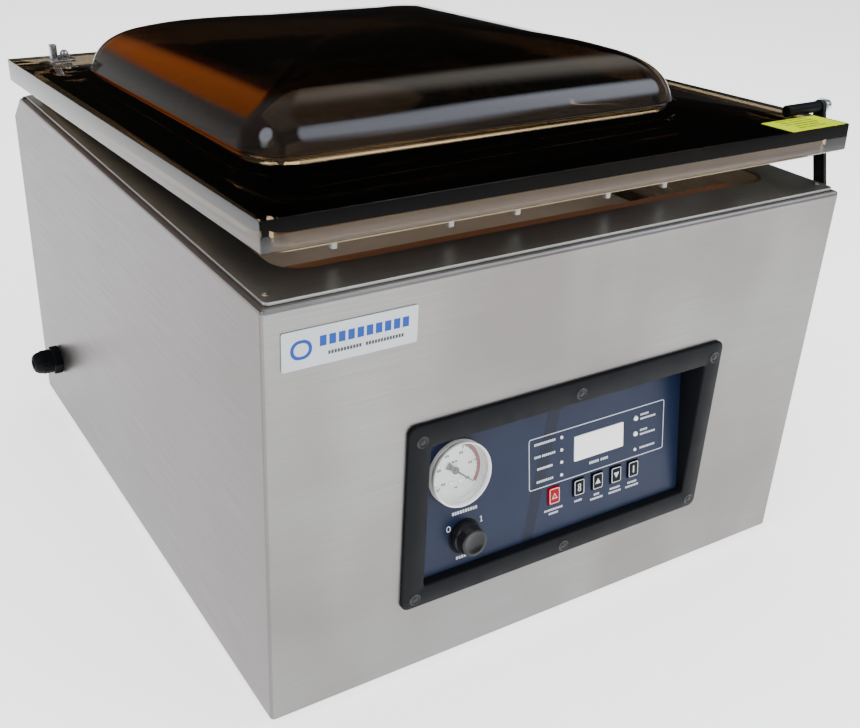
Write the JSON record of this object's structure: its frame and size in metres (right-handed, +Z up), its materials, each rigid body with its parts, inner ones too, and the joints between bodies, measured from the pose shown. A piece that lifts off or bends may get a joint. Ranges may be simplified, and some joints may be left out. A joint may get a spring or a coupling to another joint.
{
  "type": "vacuum packing machine",
  "caption": "Table-top chamber vacuum packer: steel cabinet, smoked domed lid standing ajar, slanted control panel with gauge, knob and keys.",
  "frame": {"origin": "on the floor, under the centre of the machine's outer box, to within a few millimetres", "axes": "+X to the right seen from the front, +Y to the back, +Z up"},
  "size_m": [0.5197, 0.5537, 0.4042],
  "materials": {
    "brushed_steel": "fine horizontal grain",
    "bright_steel": "bright",
    "aluminium": "satin",
    "smoke_acrylic": "clear smoke tint, polished",
    "tan_silicone": "matt",
    "red_silicone": "matt",
    "brown_tape": "coated glass cloth",
    "white_plastic": "satin",
    "black_plastic": "satin",
    "black_rubber": "matt",
    "black_metal": "black coating",
    "navy_film": "satin film",
    "red_plastic": "satin",
    "clear_glass": "clear",
    "circuit_board": "lacquered",
    "cast_grey": "painted casting",
    "motor_blue": "painted"
  },
  "bodies": {
    "cabinet": {"cabinet_shell": "brushed_steel", "deck_plate": "brushed_steel", "rear_cover": "brushed_steel", "base_plate": "bright_steel", "foot_front_left": "black_rubber", "foot_front_right": "black_rubber", "foot_rear_left": "black_rubber", "foot_rear_right": "black_rubber", "chamber_tub": "brushed_steel", "filler_plate": "white_plastic", "lift_cylinder_left": "aluminium", "lift_cylinder_right": "aluminium", "hinge_block_left": "aluminium", "hinge_block_right": "aluminium", "hinge_pin_left": "bright_steel", "hinge_pin_right": "bright_steel", "latch_keeper": "bright_steel", "control_bezel": "black_plastic", "control_panel": "navy_film", "display_window": "black_plastic", "control_board": "circuit_board", "power_switch": "black_plastic", "gauge_case": "white_plastic", "gauge_dial": "white_plastic", "gauge_lens": "clear_glass", "gland_body": "black_plastic", "gland_nut": "black_plastic", "vacuum_pump": "cast_grey", "pump_motor": "motor_blue", "exhaust_filter": "cast_grey", "transformer": "cast_grey", "solenoid_valve": "bright_steel", "vacuum_hose": "black_rubber", "name_label": "aluminium"},
    "lid": {"lid": "smoke_acrylic", "lid_gasket": "tan_silicone", "counter_bar": "red_silicone", "lid_arm_left": "bright_steel", "lid_arm_right": "bright_steel", "lid_strap_left": "bright_steel", "lid_strap_right": "bright_steel", "cap_nut_left": "bright_steel", "cap_nut_right": "bright_steel", "latch_sleeve": "black_rubber", "latch_washer": "clear_glass", "latch_bolt": "bright_steel"},
    "latch": {"latch_bar": "black_metal"},
    "seal": {"seal_bar": "aluminium", "seal_cover": "brown_tape", "seal_post_left": "bright_steel", "seal_post_right": "bright_steel"},
    "knob": {"power_knob": "black_plastic"},
    "pointer": {"gauge_pointer": "black_plastic"},
    "fan": {"motor_fan": "white_plastic"},
    "button_stop": {"button_stop": "red_plastic"},
    "button_select": {"button_select": "black_plastic"},
    "button_up": {"button_up": "black_plastic"},
    "button_down": {"button_down": "black_plastic"},
    "button_start": {"button_start": "black_plastic"}
  },
  "joints": [
    {"name": "lid_hinge", "type": "hinge", "parent": "cabinet", "child": "lid", "pos_m": [0, 0.2477, 0.313], "axis": [-1, 0, 0], "range_deg": [-2.66, 57.34]},
    {"name": "latch_swing", "type": "hinge", "parent": "lid", "child": "latch", "pos_m": [0.2455, -0.228, 0.3681], "axis": [1, 0, 0], "range_deg": [-45, 75]},
    {"name": "seal_lift", "type": "slide", "parent": "cabinet", "child": "seal", "axis": [0, 0, 1], "range_m": [0, 0.0117]},
    {"name": "power_turn", "type": "hinge", "parent": "cabinet", "child": "knob", "pos_m": [-0.083, -0.26043, 0.10422], "axis": [0, -0.9879, 0.1551], "range_deg": [-114, 0]},
    {"name": "gauge_swing", "type": "hinge", "parent": "cabinet", "child": "pointer", "pos_m": [-0.0872, -0.25248, 0.1549], "axis": [0, -0.9879, 0.1551], "range_deg": [-5, 265], "stiffness_Nm_per_rad": 0.0005},
    {"name": "fan_spin", "type": "hinge", "parent": "cabinet", "child": "fan", "pos_m": [0.137, 0.075, 0.085], "axis": [1, 0, 0], "continuous": true},
    {"name": "button_stop_press", "type": "slide", "parent": "cabinet", "child": "button_stop", "axis": [0, 0.9879, -0.1551], "range_m": [0, 0.0008], "stiffness_N_per_m": 500, "springref_m": -0.0006},
    {"name": "button_select_press", "type": "slide", "parent": "cabinet", "child": "button_select", "axis": [0, 0.9879, -0.1551], "range_m": [0, 0.0008], "stiffness_N_per_m": 500, "springref_m": -0.0006},
    {"name": "button_up_press", "type": "slide", "parent": "cabinet", "child": "button_up", "axis": [0, 0.9879, -0.1551], "range_m": [0, 0.0008], "stiffness_N_per_m": 500, "springref_m": -0.0006},
    {"name": "button_down_press", "type": "slide", "parent": "cabinet", "child": "button_down", "axis": [0, 0.9879, -0.1551], "range_m": [0, 0.0008], "stiffness_N_per_m": 500, "springref_m": -0.0006},
    {"name": "button_start_press", "type": "slide", "parent": "cabinet", "child": "button_start", "axis": [0, 0.9879, -0.1551], "range_m": [0, 0.0008], "stiffness_N_per_m": 500, "springref_m": -0.0006}
  ]
}
